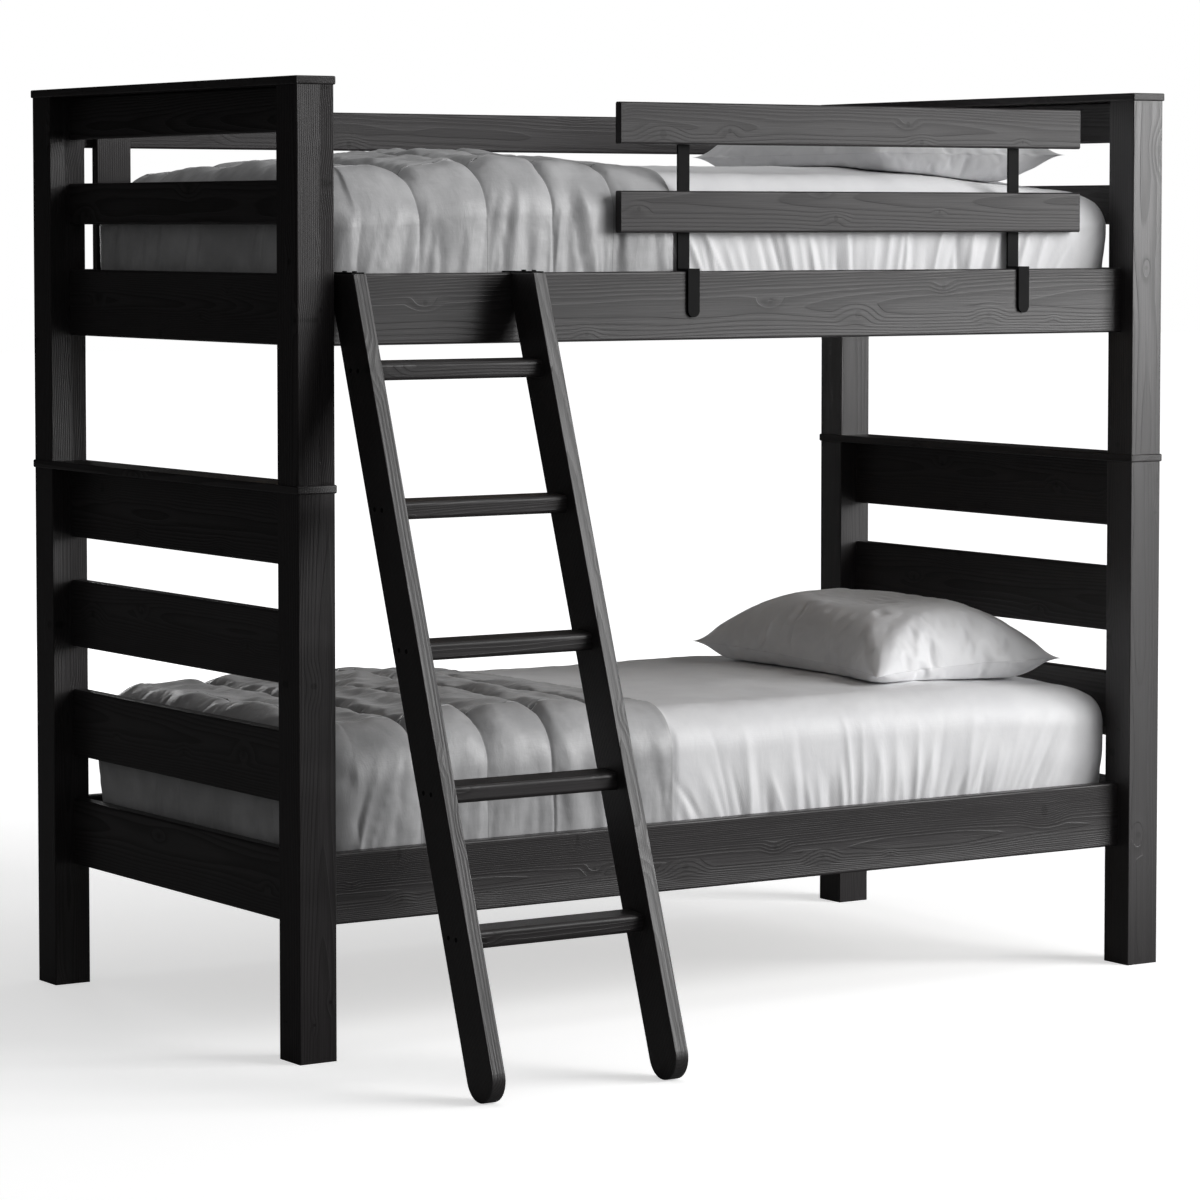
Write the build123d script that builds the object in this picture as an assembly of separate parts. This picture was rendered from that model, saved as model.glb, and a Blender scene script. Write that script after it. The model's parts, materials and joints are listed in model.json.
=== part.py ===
"""Twin-over-twin wooden bunk bed with a slanted ladder, a hook-on guard rail and made-up bedding.

The lower bed stands on the floor and carries the upper bed on four steel pins. Both beds are
end panels of posts, boards and a cap, joined by side rails whose notched cleats hold slats.
+X runs along the bed towards the pillows, -Y faces the ladder, +Z is up. The bed is worked out
about its own centre line, and shifted at the end so that the origin is the middle of the whole
object's footprint, ladder included.
"""
from build123d import *
import os
from math import cos, radians, sin, tan

os.makedirs("parts", exist_ok=True)

# ---- driving dimensions, mm ----
BED_LENGTH = 2070.0          # over the posts
BED_WIDTH = 1098.0           # over the posts
TOTAL_HEIGHT = 1829.0        # floor to the top of the upper caps
POST = 78.5                  # square posts
CAP_THICK = 16.0
CAP_OVERHANG = 3.2
SPLIT_Z = 1075.7             # top of the lower caps, where the upper bed stands
EDGE = 4.5                   # rounding along every board
POST_EDGE = 2.0

END_BOARD = 28.0             # thickness of the boards between the posts
END_BOARD_INSET = 44.0       # from a post's -X face to the boards' -X face, in every panel
LOWER_BOARD_Z = 247.0        # underside of the lowest end board
LOWER_BOARD_TALL = 136.0
LOWER_BOARD_PITCH = 224.3
LOWER_TOP_BOARD_TALL = 140.0
UPPER_BOARDS = [(1331.0, 134.0), (1556.0, 83.0), (1728.0, 85.0)]
TENON_LENGTH = 30.0
TENON_THICK = 12.0
TENON_SHOULDER = 12.0

RAIL = 30.0                  # side rail thickness
RAIL_TALL = 134.0
RAIL_INSET = 36.7            # post front face to rail front face
LOWER_RAIL_Z = 249.0
UPPER_RAIL_Z = 1331.0

SLAT_THICK = 20.0
SLAT_WIDE = 64.0
SLAT_COUNT = 13
SLAT_TOP = 86.0              # above the underside of the side rail
CLEAT = 28.0
CLEAT_TALL = 38.0
NOTCH_DEEP = 8.0

MATTRESS_LENGTH = 1905.0
MATTRESS_THICK = 260.0
MATTRESS_FRONT_Y = -468.3
LOWER_MATTRESS_BACK_Y = 468.3
UPPER_MATTRESS_BACK_Y = 449.3
MATTRESS_CORNER = 60.0
MATTRESS_TOP_ROUND = 52.0

QUILT_TOP = 24.0             # comforter thickness on top of the mattress
QUILT_SIDE = 9.4             # pressed thin where it is tucked in
QUILT_END_X = -150.0         # free hem across the bed
QUILT_TUCK = 28.0            # how far its sides reach below the rail's top

PILLOW_WIDE = 500.0          # along X
PILLOW_LONG = 684.0          # across the bed
PILLOW_X = 676.0
PILLOW_Y = -32.0
LOWER_PILLOW_TALL = 168.0
UPPER_PILLOW_TALL = 148.0
SOFT_GAP = 0.3

GUARD_LENGTH = 1143.0
GUARD_X = 281.0
GUARD_THICK = 20.0
GUARD_TALL = 81.5
GUARD_BOARDS_Z = [1540.0, 1712.0]
BRACKET_SPREAD = 411.5       # bracket centre from the guard's middle
BRACKET_WIDE = 27.0
BRACKET_THICK = 5.0
BRACKET_TOP = 1776.0
BRACKET_FOOT = 1375.0        # round end of the front leg
BRACKET_HEEL = 1422.0        # lower end of the bar, behind the rail and above the slats
SADDLE_GAP = 0.5

REAR_GUARD_Z = 1711.5
REAR_GUARD_TALL = 80.5
SUPPORT_WIDE = 78.0
SUPPORT_THICK = 23.0
SUPPORT_X = 895.7            # support centre from the middle of the bed
SUPPORT_FOOT = 1417.5

LADDER_LEAN = 18.8           # degrees from upright
STILE_THICK = 29.0
STILE_DEEP = 88.0
LEFT_STILE_X = -941.6        # -X face of each stile
RIGHT_STILE_X = -550.0
STILE_TOP_FRONT_Y = -591.0
TREAD_TOPS = [1301.5, 1050.0, 798.5, 547.0, 295.5]
TREAD_DEEP = 59.0
TREAD_THICK = 33.0
TREAD_ROUND = 8.0
TREAD_TILT = 4.5
TREAD_INSET = 21.0
HOUSING = 8.0                # depth of the grooves that hold the tread ends
HOOK_THICK = 3.0
HOOK_WIDE = 27.0
HOOK_DROP = 45.0

PIN_R = 6.0
PIN_LENGTH = 95.0
SCREW_R = 2.0
SCREW_HEAD_R = 4.5
SCREW_HEAD = 2.5
SCREW_FIT = 0.1

# ---- places worked out from them ----
X1 = BED_LENGTH / 2
Y1 = BED_WIDTH / 2
INNER_X = X1 - POST
INNER_Y = Y1 - POST
RAIL_FRONT_Y = Y1 - RAIL_INSET
RAIL_BACK_Y = RAIL_FRONT_Y - RAIL
UPPER_RAIL_TOP = UPPER_RAIL_Z + RAIL_TALL
LEAN = tan(radians(LADDER_LEAN))
FOOT_R = STILE_DEEP / 2
FOOT_Y = STILE_TOP_FRONT_Y + FOOT_R / cos(radians(LADDER_LEAN)) - (UPPER_RAIL_TOP - FOOT_R) * LEAN
BED_Y = ((FOOT_R - FOOT_Y) - (Y1 + CAP_OVERHANG)) / 2

nodes = {}


def block(x, y, z):
    """A box between the given (low, high) pairs."""
    size = (x[1] - x[0], y[1] - y[0], z[1] - z[0])
    centre = Pos((x[0] + x[1]) / 2, (y[0] + y[1]) / 2, (z[0] + z[1]) / 2)
    return centre * Box(*size)


def plank(x, y, z, along, edge=EDGE):
    """A board whose four edges parallel to one axis are rounded."""
    board = block(x, y, z)
    return fillet(board.edges().filter_by(along), edge)


def rod(start, direction, length, radius):
    """A round bar from a point along a direction."""
    return extrude(Plane(start, z_dir=direction) * Circle(radius), length)


def screw(start, direction, length, gap=0.0):
    """A pan-head screw driven from a surface point; with a gap, the hole for its shank."""
    shank = rod(start, direction, length, SCREW_R + gap)
    if gap:
        return shank
    back = tuple(-d for d in direction)
    return shank + rod(start, back, SCREW_HEAD, SCREW_HEAD_R)


def flush_screw(start, direction, length, gap=0.0):
    """A screw whose head is sunk level with the surface; with a gap, its stepped hole."""
    shank = rod(start, direction, length, SCREW_R + gap)
    return shank + rod(start, direction, SCREW_HEAD, SCREW_HEAD_R + gap)


# ---- end panels: posts, tenoned boards and caps ----
def boards_of(level):
    """Underside and height of each end board, from the bottom up."""
    if level == "upper":
        return UPPER_BOARDS
    low = [(LOWER_BOARD_Z + LOWER_BOARD_PITCH * i, LOWER_BOARD_TALL) for i in range(3)]
    top = SPLIT_Z - CAP_THICK - LOWER_TOP_BOARD_TALL
    return low + [(top, LOWER_TOP_BOARD_TALL)]


def panel_x(side):
    """The posts' -X face in the left or right panel."""
    return -X1 if side == "left" else INNER_X


def end_board(side, bottom, tall):
    """A board between two posts, with a tenon at each end."""
    x = panel_x(side) + END_BOARD_INSET
    board = plank((x, x + END_BOARD), (-INNER_Y, INNER_Y), (bottom, bottom + tall), Axis.Y)
    middle = x + END_BOARD / 2
    reach = INNER_Y + TENON_LENGTH
    tenon_z = (bottom + TENON_SHOULDER, bottom + tall - TENON_SHOULDER)
    tenon = block((middle - TENON_THICK / 2, middle + TENON_THICK / 2), (-reach, reach), tenon_z)
    return board + tenon


def hook_plate(x_side, y_side, rail_z):
    """Steel plate let into a rail's end, with two hooks that drop into the post."""
    middle_y = y_side * (RAIL_FRONT_Y + RAIL_BACK_Y) / 2
    middle_z = rail_z + RAIL_TALL / 2
    face = x_side * INNER_X
    inner = sorted((face, face - x_side * 3))
    outer = sorted((face, face + x_side * 12))
    plate = block(inner, (middle_y - 11, middle_y + 11), (middle_z - 55, middle_z + 55))
    for dz in (-30, 30):
        hook_z = (middle_z + dz - 12, middle_z + dz + 12)
        plate += block(outer, (middle_y - 2.5, middle_y + 2.5), hook_z)
    return plate


def post(side, face, level):
    """A post with mortises for the boards, slots for the rail hooks and a bore for its pin."""
    low, high = (0, SPLIT_Z - CAP_THICK) if level == "lower" else (SPLIT_Z, TOTAL_HEIGHT - CAP_THICK)
    x = panel_x(side)
    y = (-Y1, -INNER_Y) if face == "front" else (INNER_Y, Y1)
    shape = plank((x, x + POST), y, (low, high), Axis.Z, POST_EDGE)
    for bottom, tall in boards_of(level):
        shape -= end_board(side, bottom, tall)
    x_side = -1 if side == "left" else 1
    y_side = -1 if face == "front" else 1
    rail_z = LOWER_RAIL_Z if level == "lower" else UPPER_RAIL_Z
    shape -= hook_plate(x_side, y_side, rail_z)
    return shape - pin_bore(x_side, y_side, level)


def pin_start(x_side, y_side):
    """Lower end of the stacking pin in the middle of a post."""
    return (x_side * (X1 - POST / 2), y_side * (Y1 - POST / 2), SPLIT_Z - CAP_THICK - PIN_LENGTH * 0.4)


def pin_bore(x_side, y_side, level):
    """Tight bore in the lower post and cap, easier bore in the upper post."""
    gap = 0.05 if level == "lower" else 0.5
    return rod(pin_start(x_side, y_side), (0, 0, 1), PIN_LENGTH + 2, PIN_R + gap)


def cap(side, level):
    """Flat board over both posts of a panel."""
    top = SPLIT_Z if level == "lower" else TOTAL_HEIGHT
    x = panel_x(side)
    shape = block(
        (x - CAP_OVERHANG, x + POST + CAP_OVERHANG),
        (-Y1 - CAP_OVERHANG, Y1 + CAP_OVERHANG),
        (top - CAP_THICK, top),
    )
    shape = fillet(shape.edges(), 3.0)
    if level == "upper":
        return shape
    x_side = -1 if side == "left" else 1
    for y_side in (-1, 1):
        shape -= pin_bore(x_side, y_side, level)
    return shape


for level in ("lower", "upper"):
    for side in ("left", "right"):
        for face in ("front", "back"):
            nodes[f"{level}_{side}_{face}_post"] = post(side, face, level)
        for number, (bottom, tall) in enumerate(boards_of(level), start=1):
            nodes[f"{level}_{side}_end_board_{number}"] = end_board(side, bottom, tall)
        nodes[f"{level}_{side}_cap"] = cap(side, level)

pins = [rod(pin_start(i, j), (0, 0, 1), PIN_LENGTH, PIN_R) for i in (-1, 1) for j in (-1, 1)]
nodes["stacking_pins"] = Compound(pins)


# ---- side rails, cleats and slats ----
def slat_centres():
    """Evenly spread slat positions along the bed."""
    reach = INNER_X - 25 - SLAT_WIDE / 2
    step = 2 * reach / (SLAT_COUNT - 1)
    return [-reach + step * i for i in range(SLAT_COUNT)]


def slats(rail_z):
    """Loose slats that span the cleats."""
    top = rail_z + SLAT_TOP
    reach = RAIL_BACK_Y - 1.5
    boards = []
    for x in slat_centres():
        width = (x - SLAT_WIDE / 2, x + SLAT_WIDE / 2)
        boards.append(plank(width, (-reach, reach), (top - SLAT_THICK, top), Axis.Y, 3.0))
    return Compound(boards)


def cleats(rail_z):
    """Two ledgers inside the rails, notched so that each slat drops in."""
    seat = rail_z + SLAT_TOP - SLAT_THICK
    top = seat + NOTCH_DEEP
    reach = INNER_X - 6
    both = []
    for y_side in (-1, 1):
        y = sorted((y_side * RAIL_BACK_Y, y_side * (RAIL_BACK_Y - CLEAT)))
        ledger = block((-reach, reach), y, (top - CLEAT_TALL, top))
        for x in slat_centres():
            ledger -= block((x - SLAT_WIDE / 2 - 1, x + SLAT_WIDE / 2 + 1), y, (seat, top))
        both.append(ledger)
    return Compound(both)


def side_rail(y_side, rail_z):
    """Long rail between two posts, pocketed for its hook plates."""
    y = sorted((y_side * RAIL_FRONT_Y, y_side * RAIL_BACK_Y))
    rail = plank((-INNER_X, INNER_X), y, (rail_z, rail_z + RAIL_TALL), Axis.X)
    for x_side in (-1, 1):
        rail -= hook_plate(x_side, y_side, rail_z)
    return rail


for level, rail_z in (("lower", LOWER_RAIL_Z), ("upper", UPPER_RAIL_Z)):
    nodes[f"{level}_front_side_rail"] = side_rail(-1, rail_z)
    nodes[f"{level}_back_side_rail"] = side_rail(1, rail_z)
    nodes[f"{level}_slat_cleats"] = cleats(rail_z)
    nodes[f"{level}_slats"] = slats(rail_z)
    plates = [hook_plate(i, j, rail_z) for i in (-1, 1) for j in (-1, 1)]
    nodes[f"{level}_rail_hook_plates"] = Compound(plates)


# ---- rear guard: one long board on two uprights ----
def rear_guard_screws(gap=0.0):
    """Two screws from the board and two from the rail into each upright."""
    found = []
    for x_side in (-1, 1):
        for dx in (-20, 20):
            x = x_side * SUPPORT_X + dx
            board_z = REAR_GUARD_Z + REAR_GUARD_TALL / 2
            rail_z = (SUPPORT_FOOT + UPPER_RAIL_TOP) / 2
            found.append(screw((x, RAIL_BACK_Y + GUARD_THICK, board_z), (0, -1, 0), 35, gap))
            found.append(screw((x, RAIL_FRONT_Y, rail_z), (0, -1, 0), 45, gap))
    return found


def drilled(shape, holes):
    """The shape with each hole cut out of it."""
    for hole in holes:
        shape -= hole
    return shape


rear_z = (REAR_GUARD_Z, REAR_GUARD_Z + REAR_GUARD_TALL)
rear_holes = rear_guard_screws(SCREW_FIT)
rear_board = plank((-INNER_X + 2, INNER_X - 2), (RAIL_BACK_Y, RAIL_BACK_Y + GUARD_THICK), rear_z, Axis.X)
nodes["rear_guard_board"] = drilled(rear_board, rear_holes)
uprights = []
for x_side in (-1, 1):
    middle = x_side * SUPPORT_X
    upright_x = (middle - SUPPORT_WIDE / 2, middle + SUPPORT_WIDE / 2)
    upright_y = (RAIL_BACK_Y - SUPPORT_THICK, RAIL_BACK_Y)
    upright = plank(upright_x, upright_y, (SUPPORT_FOOT, rear_z[1]), Axis.Z, 3.0)
    uprights.append(drilled(upright, rear_holes))
nodes["rear_guard_uprights"] = Compound(uprights)
nodes["rear_guard_screws"] = Compound(rear_guard_screws())
nodes["upper_back_side_rail"] = drilled(nodes["upper_back_side_rail"], rear_holes)

# ---- hook-on front guard rail: two boards on two bent steel brackets ----
BAR_Y = -RAIL_BACK_Y + SADDLE_GAP           # face of the bar against the boards
BAR_BACK_Y = BAR_Y + BRACKET_THICK
LEG_Y = -RAIL_FRONT_Y - SADDLE_GAP
BRACKET_X = [GUARD_X - BRACKET_SPREAD, GUARD_X + BRACKET_SPREAD]


def guard_screws(gap=0.0):
    """Two screws through each bracket into each board, driven from the mattress side."""
    found = []
    for x in BRACKET_X:
        for bottom in GUARD_BOARDS_Z:
            for dz in (-20, 20):
                z = bottom + GUARD_TALL / 2 + dz
                found.append(screw((x, BAR_BACK_Y, z), (0, -1, 0), 20, gap))
    return found


def guard_bracket(x):
    """Flat bar behind the boards, with a saddle over the side rail and a round-ended front leg."""
    half = BRACKET_WIDE / 2
    width = (x - half, x + half)
    bar = block(width, (BAR_Y, BAR_BACK_Y), (BRACKET_HEEL, BRACKET_TOP))
    leg_y = (LEG_Y - BRACKET_THICK, LEG_Y)
    bridge_top = UPPER_RAIL_TOP + BRACKET_THICK
    bridge = block(width, (leg_y[0], BAR_BACK_Y), (UPPER_RAIL_TOP, bridge_top))
    leg = block(width, leg_y, (BRACKET_FOOT + half, bridge_top))
    toe = rod((x, leg_y[0], BRACKET_FOOT + half), (0, 1, 0), BRACKET_THICK, half)
    return drilled(bar + bridge + leg + toe, guard_screws(SCREW_FIT))


for name, x in zip(("left", "right"), BRACKET_X):
    nodes[f"guard_{name}_bracket"] = guard_bracket(x)
guard_x = (GUARD_X - GUARD_LENGTH / 2, GUARD_X + GUARD_LENGTH / 2)
for name, bottom in zip(("lower", "upper"), GUARD_BOARDS_Z):
    board = plank(guard_x, (BAR_Y - GUARD_THICK, BAR_Y), (bottom, bottom + GUARD_TALL), Axis.X)
    nodes[f"guard_{name}_board"] = drilled(board, guard_screws(SCREW_FIT))
nodes["guard_screws"] = Compound(guard_screws())

# ---- ladder: two round-footed stiles, housed treads and steel hooks ----
LADDER_X = (LEFT_STILE_X + STILE_THICK, RIGHT_STILE_X)      # clear space between the stiles
STILES = (("left", LEFT_STILE_X), ("right", RIGHT_STILE_X))


def stile_blank(x):
    """Slanted plank, cut level at the top and plumb at the rail, with a half-round foot."""
    a = radians(LADDER_LEAN)
    across = (FOOT_R * cos(a), -FOOT_R * sin(a))
    plumb_y = -RAIL_FRONT_Y - SOFT_GAP
    top = UPPER_RAIL_TOP
    back_at_top = STILE_TOP_FRONT_Y + STILE_DEEP / cos(a)
    plumb_foot = (plumb_y, top - (back_at_top - plumb_y) / LEAN)
    heel = (FOOT_Y + across[0], FOOT_R + across[1])
    toe = (FOOT_Y - across[0], FOOT_R - across[1])
    sole = (FOOT_Y - FOOT_R * sin(a), FOOT_R - FOOT_R * cos(a))
    sides = Polyline(toe, (STILE_TOP_FRONT_Y, top), (plumb_y, top), plumb_foot, heel)
    outline = sides + ThreePointArc(heel, sole, toe)
    plank_shape = extrude(Plane.YZ.offset(x) * make_face(outline), STILE_THICK)
    faces = plank_shape.faces().filter_by(Axis.X)
    return fillet([edge for face in faces for edge in face.edges()], 2.0)


def tread_place(top):
    """Centre of a tread's section, found from its front top corner."""
    front = STILE_TOP_FRONT_Y - (UPPER_RAIL_TOP - top) * LEAN + TREAD_INSET
    a = radians(TREAD_TILT)
    half_deep = TREAD_DEEP / 2
    half_thick = TREAD_THICK / 2
    y = front + half_deep * cos(a) + half_thick * sin(a)
    z = top + half_deep * sin(a) - half_thick * cos(a)
    return y, z


def tread(top):
    """Rounded step, tilted forward, whose ends sit in the stiles."""
    y, z = tread_place(top)
    section = Pos(y, z) * Rot(0, 0, TREAD_TILT) * RectangleRounded(TREAD_DEEP, TREAD_THICK, TREAD_ROUND)
    length = LADDER_X[1] - LADDER_X[0] + 2 * HOUSING
    return extrude(Plane.YZ.offset(LADDER_X[0] - HOUSING) * section, length)


def ladder_screws(gap=0.0):
    """Two screws through each stile into each tread, and two down through each hook."""
    found = []
    for top in TREAD_TOPS:
        y, z = tread_place(top)
        for dy in (-13, 13):
            left = (LEFT_STILE_X, y + dy, z)
            right = (RIGHT_STILE_X + STILE_THICK, y + dy, z)
            found.append(flush_screw(left, (1, 0, 0), 50, gap))
            found.append(flush_screw(right, (-1, 0, 0), 50, gap))
    for _, x in STILES:
        for y in (-572, -536):
            place = (x + STILE_THICK / 2, y, UPPER_RAIL_TOP + HOOK_THICK)
            found.append(screw(place, (0, 0, -1), 35, gap))
    return found


def hook(x):
    """Flat steel strap from a stile's top, over the side rail and down behind it."""
    middle = x + STILE_THICK / 2
    width = (middle - HOOK_WIDE / 2, middle + HOOK_WIDE / 2)
    back = -RAIL_BACK_Y + SADDLE_GAP
    top = UPPER_RAIL_TOP + HOOK_THICK
    strap = block(width, (STILE_TOP_FRONT_Y + 6, back + HOOK_THICK), (UPPER_RAIL_TOP, top))
    return strap + block(width, (back, back + HOOK_THICK), (top - HOOK_DROP, top))


ladder_holes = ladder_screws(SCREW_FIT)
treads = [tread(top) for top in TREAD_TOPS]
for name, x in STILES:
    nodes[f"ladder_{name}_stile"] = drilled(stile_blank(x), treads + ladder_holes)
for number, step in enumerate(treads, start=1):
    nodes[f"ladder_tread_{number}"] = drilled(step, ladder_holes)
nodes["ladder_hooks"] = Compound([drilled(hook(x), ladder_holes) for _, x in STILES])
nodes["ladder_screws"] = Compound(ladder_screws())


# ---- bedding: mattresses in their sheets, tucked comforters, pillows ----
def cushion(x, y, z, corner, top_round):
    """A soft block with round upright corners and a round upper edge."""
    base = plank(x, y, z, Axis.Z, corner)
    return fillet(base.faces().sort_by(Axis.Z)[-1].edges(), top_round)


def mattress(rail_z, back_y, grow=0.0):
    """Mattress on the slats, or the same shape grown evenly and run on past the hem."""
    bottom = rail_z + SLAT_TOP
    half = MATTRESS_LENGTH / 2
    x = (-half - grow, half + (300 if grow else 0))
    y = (MATTRESS_FRONT_Y - grow, back_y + grow)
    z = (bottom - (5 if grow else 0), bottom + MATTRESS_THICK + grow)
    return cushion(x, y, z, MATTRESS_CORNER + grow, MATTRESS_TOP_ROUND + grow)


def comforter(rail_z, back_y):
    """Quilt over the foot half of the bed, hanging down both sides and the foot end."""
    thick = QUILT_SIDE + SOFT_GAP
    reach = MATTRESS_LENGTH / 2 + thick
    top = rail_z + SLAT_TOP + MATTRESS_THICK + SOFT_GAP + QUILT_TOP
    low = rail_z + RAIL_TALL - QUILT_TUCK
    y = (MATTRESS_FRONT_Y - thick, back_y + thick)
    outer = cushion((-reach, reach), y, (low, top), MATTRESS_CORNER + thick, MATTRESS_TOP_ROUND + 16)
    outer -= block((QUILT_END_X, reach + 1), (y[0] - 1, y[1] + 1), (low - 1, top + 1))
    return outer - mattress(rail_z, back_y, SOFT_GAP)


def pillow(rail_z, tall):
    """Plump pillow: widest a quarter of the way up, drawn in above and below."""
    seat = rail_z + SLAT_TOP + MATTRESS_THICK + SOFT_GAP
    waist = tall * 0.28
    rim = Pos(PILLOW_X, PILLOW_Y, seat + waist) * RectangleRounded(PILLOW_WIDE, PILLOW_LONG, 45)
    upper = extrude(rim, tall - waist, taper=46)
    lower = extrude(rim, -waist, taper=50)
    return upper + lower


BEDS = (
    ("lower", LOWER_RAIL_Z, LOWER_MATTRESS_BACK_Y, LOWER_PILLOW_TALL),
    ("upper", UPPER_RAIL_Z, UPPER_MATTRESS_BACK_Y, UPPER_PILLOW_TALL),
)
for level, rail_z, back_y, pillow_tall in BEDS:
    nodes[f"{level}_mattress"] = mattress(rail_z, back_y)
    nodes[f"{level}_comforter"] = comforter(rail_z, back_y)
    nodes[f"{level}_pillow"] = pillow(rail_z, pillow_tall)

for name, shape in nodes.items():
    export_step(Pos(0, BED_Y, 0) * shape, f"parts/{name}.step")
print(len(nodes), "nodes; bed centre line at Y", round(BED_Y, 3))
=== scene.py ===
"""Bunk bed with ladder: stained pine frame, black steel hooks, and bedding on both bunks."""

import json
import math

import bpy
import numpy as np
from mathutils import Euler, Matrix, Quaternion, Vector


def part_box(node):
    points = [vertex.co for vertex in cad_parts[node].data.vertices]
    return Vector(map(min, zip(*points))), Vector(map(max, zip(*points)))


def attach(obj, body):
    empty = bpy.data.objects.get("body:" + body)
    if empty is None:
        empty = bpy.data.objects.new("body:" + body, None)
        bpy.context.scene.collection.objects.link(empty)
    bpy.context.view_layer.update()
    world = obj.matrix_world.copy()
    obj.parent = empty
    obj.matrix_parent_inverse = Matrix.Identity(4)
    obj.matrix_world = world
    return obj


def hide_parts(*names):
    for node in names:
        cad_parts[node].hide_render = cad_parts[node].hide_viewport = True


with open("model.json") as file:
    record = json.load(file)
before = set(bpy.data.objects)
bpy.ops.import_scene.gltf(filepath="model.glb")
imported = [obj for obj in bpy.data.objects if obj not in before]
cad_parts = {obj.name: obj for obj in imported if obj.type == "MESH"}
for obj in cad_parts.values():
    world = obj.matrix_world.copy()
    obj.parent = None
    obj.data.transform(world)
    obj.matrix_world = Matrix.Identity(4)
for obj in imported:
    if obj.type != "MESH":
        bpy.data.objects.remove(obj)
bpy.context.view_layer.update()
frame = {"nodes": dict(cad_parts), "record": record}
nodes = frame["nodes"]

# ---- Viewpoint ----
# A long lens stands off the ladder end of the bed, level with the upper bunk, and looks slightly
# down. It is turned to see the whole front and the outside of the foot end.
cap_low, cap_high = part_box("lower_left_cap")
bed_middle_y = (cap_low.y + cap_high.y) / 2
camera_data = bpy.data.cameras.new("camera")
camera_data.lens = 130.93
camera_data.shift_y = -0.10
camera_data.clip_end = 100
camera = bpy.data.objects.new("camera", camera_data)
camera.location = (-4.9644, -7.5518 + bed_middle_y, 1.5585)
camera.rotation_euler = (math.radians(90 - 3.367), 0, math.radians(-33.263))
bpy.context.scene.collection.objects.link(camera)
bpy.context.scene.camera = camera


# ---- Stained pine frame: posts, boards, rails, caps, stiles and treads ----
# Planed knotty pine under a dark charcoal stain and satin lacquer. Each stick is cut from its own
# log, so the growth rings, the pith they run round and the knots differ from board to board.
early_wood = (0.031, 0.0282, 0.0292, 1)
late_wood = (0.0140, 0.0124, 0.0124, 1)
knot_heart = (0.0080, 0.0068, 0.0066, 1)
knot_gap = (0.42, 1.15)  # metres up the log, radians round it
knot_radius = 0.0095
knot_stretch = 0.42  # how much shorter a step up the log counts in the bell round a knot
ladder_lean = math.radians(18.8)


def add(tree, kind, links=None, **settings):
    """One shader node: settings are its own options, links its sockets' values or sources."""
    made = tree.nodes.new(kind)
    for name, value in settings.items():
        setattr(made, name, value)
    for socket, source in (links or {}).items():
        if isinstance(source, bpy.types.NodeSocket):
            tree.links.new(source, made.inputs[socket])
        else:
            made.inputs[socket].default_value = source
    return made


def maths(tree, operation, *values):
    """The result of one maths node."""
    return add(tree, "ShaderNodeMath", dict(enumerate(values)), operation=operation).outputs[0]


def vector_maths(tree, operation, *values):
    """The vector result of one vector maths node."""
    made = add(tree, "ShaderNodeVectorMath", dict(enumerate(values)), operation=operation)
    return made.outputs["Value" if operation in ("LENGTH", "DISTANCE") else "Vector"]


def ramp(tree, value, low, high, to_low=0.0, to_high=1.0):
    """A smooth step of value from low to high."""
    sockets = {0: value, 1: low, 2: high, 3: to_low, 4: to_high}
    made = add(tree, "ShaderNodeMapRange", sockets, interpolation_type="SMOOTHSTEP")
    return made.outputs[0]


def blend(tree, factor, first, second):
    """Two colours mixed by a factor."""
    sockets = {0: factor, 6: first, 7: second}
    return add(tree, "ShaderNodeMix", sockets, data_type="RGBA").outputs[2]


def noise(tree, where, scale, detail, distortion=0.0):
    """Smooth cloudy noise, 0 to 1: more detail adds finer octaves."""
    sockets = {"Vector": where, "Scale": scale, "Detail": detail, "Distortion": distortion}
    return add(tree, "ShaderNodeTexNoise", sockets).outputs[0]


def long_side(tree, first, second):
    """The square root of the sum of two squares."""
    squares = [maths(tree, "MULTIPLY", side, side) for side in (first, second)]
    return maths(tree, "SQRT", maths(tree, "ADD", *squares))


def group_with(name, inputs, outputs):
    """An empty shader node group with those sockets, and its input and output nodes."""
    tree = bpy.data.node_groups.new(name, "ShaderNodeTree")
    for socket, kind in inputs:
        tree.interface.new_socket(socket, in_out="INPUT", socket_type=kind)
    for socket, kind in outputs:
        tree.interface.new_socket(socket, in_out="OUTPUT", socket_type=kind)
    return tree, tree.nodes.new("NodeGroupInput").outputs, tree.nodes.new("NodeGroupOutput")


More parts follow.
